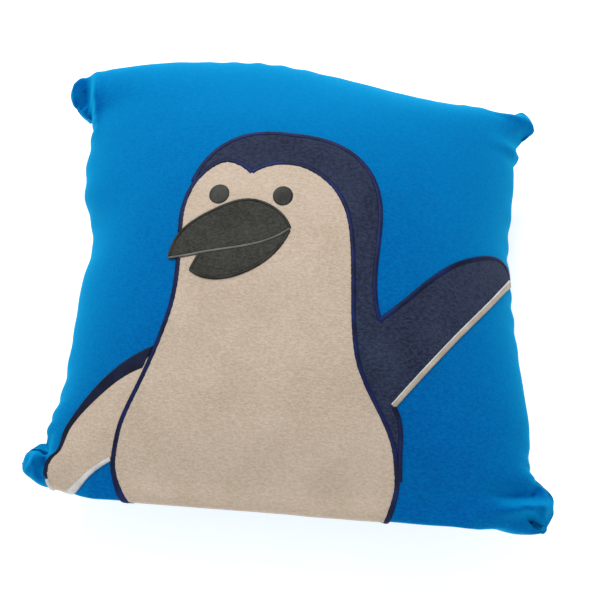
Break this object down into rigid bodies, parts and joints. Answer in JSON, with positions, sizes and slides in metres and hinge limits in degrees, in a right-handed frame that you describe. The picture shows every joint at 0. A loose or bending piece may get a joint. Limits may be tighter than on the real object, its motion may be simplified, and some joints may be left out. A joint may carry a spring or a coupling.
{
  "type": "throw cushion",
  "caption": "Square knitted throw cushion lying on its back, with an applique penguin on the front, a zipped cover and a fibre-filled pad inside.",
  "frame": {"origin": "middle of the flattened patch of the back panel that the cushion rests on", "axes": "+Z the way the penguin faces, away from the back panel; +Y towards the penguin's head; +X to the viewer's right when looking at the penguin upright"},
  "size_m": [0.444, 0.444, 0.1667],
  "materials": {
    "knit_blue": "brushed knit, soft sheen",
    "fleece_navy": "short fleece",
    "fleece_beige": "short fleece",
    "satin_navy": "satin stitching",
    "satin_pale": "satin stitching",
    "felt_charcoal": "felt",
    "satin_charcoal": "satin stitching",
    "satin_grey": "satin stitching",
    "stabiliser": "non-woven",
    "pad_case": "plain weave",
    "fibre": "loose fibre",
    "thread_blue": "sewing thread",
    "tape_blue": "woven tape",
    "coil": "nylon coil",
    "zip_metal": "painted, worn at edges",
    "label": "blank satin ribbon"
  },
  "bodies": {
    "cover": {"cover_front": "knit_blue", "cover_back": "knit_blue", "seam_thread": "thread_blue", "body_applique": "fleece_navy", "face_belly_applique": "fleece_beige", "left_flipper_applique": "fleece_beige", "left_flipper_edge": "satin_navy", "raised_flipper_edge_stitch": "satin_pale", "left_flipper_lower_stitch": "satin_pale", "body_border_stitch": "satin_navy", "face_border_stitch": "satin_navy", "upper_beak": "felt_charcoal", "lower_beak": "felt_charcoal", "upper_beak_border_stitch": "satin_charcoal", "lower_beak_border_stitch": "satin_charcoal", "mouth_line_stitch": "satin_grey", "left_eye": "satin_charcoal", "right_eye": "satin_charcoal", "embroidery_backing": "stabiliser", "insert_case_front": "pad_case", "insert_case_back": "pad_case", "insert_seam": "pad_case", "fibre_filling": "fibre", "zip_tape_front": "tape_blue", "zip_tape_back": "tape_blue", "zip_coil_front": "coil", "zip_coil_back": "coil", "zip_open_stop": "zip_metal", "zip_closed_stop": "zip_metal", "care_label": "label"},
    "zip_slider": {"zip_slider_body": "zip_metal"},
    "zip_pull": {"zip_pull_tab": "zip_metal"}
  },
  "joints": [
    {"name": "zip_slide", "type": "slide", "parent": "cover", "child": "zip_slider", "axis": [-1, 0, 0], "range_m": [0, 0.29], "deforming": ["zip_coil_front", "zip_coil_back"]},
    {"name": "pull_flip", "type": "hinge", "parent": "zip_slider", "child": "zip_pull", "pos_m": [0.15, -0.2079, 0.076], "axis": [0, 0, 1], "range_deg": [0, 165]}
  ]
}
